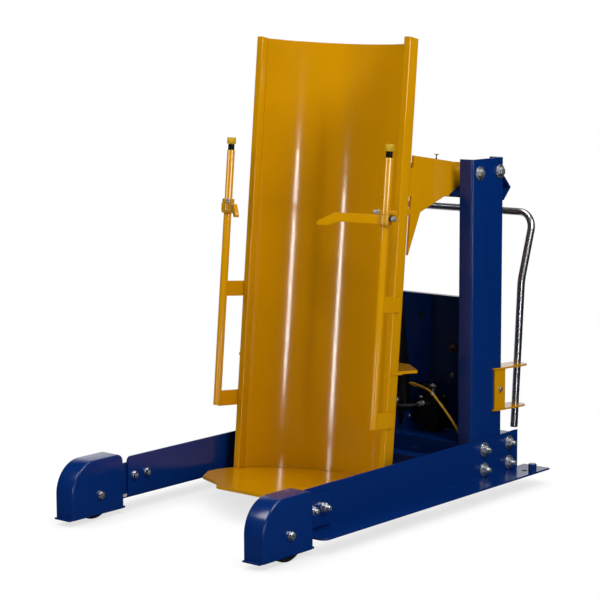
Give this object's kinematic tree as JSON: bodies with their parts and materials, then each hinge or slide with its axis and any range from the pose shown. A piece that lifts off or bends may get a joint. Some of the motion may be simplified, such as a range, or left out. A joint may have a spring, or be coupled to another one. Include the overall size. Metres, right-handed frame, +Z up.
{
  "type": "drum tipper",
  "caption": "Hydraulic drum tipper: a wheeled frame with columns and a push handle, and a tilting carriage with foot plate, half-round chute and swinging clamps.",
  "frame": {"origin": "middle of the footprint on the floor", "axes": "+Z up, +Y towards the push handle, +X across the machine"},
  "size_m": [0.964, 1.6, 1.5595],
  "materials": {
    "blue_paint": "gloss",
    "yellow_paint": "gloss",
    "cast_iron": "satin",
    "zinc": "satin",
    "steel": "satin",
    "aluminium": "satin",
    "rubber": "matte",
    "chrome": "polished",
    "black_enamel": "satin",
    "tank": "satin",
    "yellow_jacket": "satin",
    "white_plastic": "satin"
  },
  "bodies": {
    "frame": {"leg_right": "blue_paint", "leg_left": "blue_paint", "column_right": "blue_paint", "column_left": "blue_paint", "pivot_bearing_right": "cast_iron", "pivot_bearing_left": "cast_iron", "rear_tie_angle": "blue_paint", "wheel_bracket_right": "blue_paint", "wheel_bracket_left": "blue_paint", "wheel_cover_right": "blue_paint", "wheel_cover_left": "blue_paint", "front_axle_right": "zinc", "front_axle_left": "zinc", "rear_deck": "blue_paint", "rear_panel": "blue_paint", "caster_plate_right": "steel", "caster_plate_left": "steel", "push_handle": "chrome", "handle_bracket_right": "yellow_paint", "handle_bracket_left": "yellow_paint", "stop_bar": "blue_paint", "stop_bumper_right": "rubber", "stop_bumper_left": "rubber", "cylinder_bracket": "blue_paint", "cylinder_pin": "zinc", "hydraulic_tank": "tank", "pump_motor": "cast_iron", "valve_block": "aluminium", "pressure_hose": "rubber", "power_cable": "yellow_jacket", "cable_tie": "white_plastic"},
    "carriage": {"chute_sheet": "yellow_paint", "edge_tube_right": "yellow_paint", "edge_tube_left": "yellow_paint", "foot_plate": "yellow_paint", "back_rib": "yellow_paint", "tilt_arm_right": "yellow_paint", "tilt_arm_left": "yellow_paint", "pivot_shaft": "steel", "cross_beam": "yellow_paint", "cylinder_lugs": "yellow_paint", "clamp_post_right": "yellow_paint", "clamp_post_left": "yellow_paint", "post_cap_right": "yellow_paint", "post_cap_left": "yellow_paint", "wing_screw": "black_enamel"},
    "barrel": {"cylinder_barrel": "black_enamel"},
    "rod": {"cylinder_rod": "chrome"},
    "front_wheel_right_body": {"front_wheel_right": "rubber"},
    "front_wheel_left_body": {"front_wheel_left": "rubber"},
    "caster_right": {"caster_fork_right": "zinc"},
    "caster_wheel_right_body": {"caster_wheel_right": "rubber"},
    "caster_left": {"caster_fork_left": "zinc"},
    "caster_wheel_left_body": {"caster_wheel_left": "rubber"},
    "clamp_slide_right": {"clamp_collar_right": "yellow_paint"},
    "clamp_swing_right": {"clamp_arm_right": "yellow_paint"},
    "clamp_slide_left": {"clamp_collar_left": "yellow_paint"},
    "clamp_swing_left": {"clamp_arm_left": "yellow_paint"}
  },
  "joints": [
    {"name": "chute_tilt", "type": "hinge", "parent": "frame", "child": "carriage", "pos_m": [0, 0.47168, 1.1], "axis": [-1, 0, 0], "range_deg": [0, 129.5]},
    {"name": "cylinder_swing", "type": "hinge", "parent": "frame", "child": "barrel", "pos_m": [0, 0.49167, 0.2165], "axis": [-1, 0, 0], "range_deg": [0, 3.5]},
    {"name": "rod_extend", "type": "slide", "parent": "barrel", "child": "rod", "axis": [0, -0.1333, 0.9911], "range_m": [0, 0.29]},
    {"name": "front_wheel_spin_right", "type": "hinge", "parent": "frame", "child": "front_wheel_right_body", "pos_m": [0.415, -0.66433, 0.0825], "axis": [1, 0, 0], "continuous": true},
    {"name": "front_wheel_spin_left", "type": "hinge", "parent": "frame", "child": "front_wheel_left_body", "pos_m": [-0.415, -0.66433, 0.0825], "axis": [1, 0, 0], "continuous": true},
    {"name": "caster_swivel_right", "type": "hinge", "parent": "frame", "child": "caster_right", "pos_m": [0.212, 0.56168, 0.145], "axis": [0, 0, 1], "continuous": true},
    {"name": "caster_wheel_spin_right", "type": "hinge", "parent": "caster_right", "child": "caster_wheel_right_body", "pos_m": [0.212, 0.59967, 0.0635], "axis": [1, 0, 0], "continuous": true},
    {"name": "caster_swivel_left", "type": "hinge", "parent": "frame", "child": "caster_left", "pos_m": [-0.212, 0.56168, 0.145], "axis": [0, 0, 1], "continuous": true},
    {"name": "caster_wheel_spin_left", "type": "hinge", "parent": "caster_left", "child": "caster_wheel_left_body", "pos_m": [-0.212, 0.59967, 0.0635], "axis": [1, 0, 0], "continuous": true},
    {"name": "clamp_height_right", "type": "slide", "parent": "carriage", "child": "clamp_slide_right", "axis": [0, 0.0966, 0.9953], "range_m": [-0.2, 0.15]},
    {"name": "clamp_turn_right", "type": "hinge", "parent": "clamp_slide_right", "child": "clamp_swing_right", "pos_m": [0.339, -0.06305, 0.97908], "axis": [0, 0.0966, 0.9953], "range_deg": [-20, 110]},
    {"name": "clamp_height_left", "type": "slide", "parent": "carriage", "child": "clamp_slide_left", "axis": [0, 0.0966, 0.9953], "range_m": [-0.2, 0.15]},
    {"name": "clamp_turn_left", "type": "hinge", "parent": "clamp_slide_left", "child": "clamp_swing_left", "pos_m": [-0.339, -0.06305, 0.97908], "axis": [0, -0.0966, -0.9953], "range_deg": [-20, 110]}
  ],
  "couplings": [
    {"joint": "cylinder_swing", "follows": "chute_tilt", "ratio": 0.02621},
    {"joint": "rod_extend", "follows": "chute_tilt", "m_per_rad": 0.12696}
  ]
}
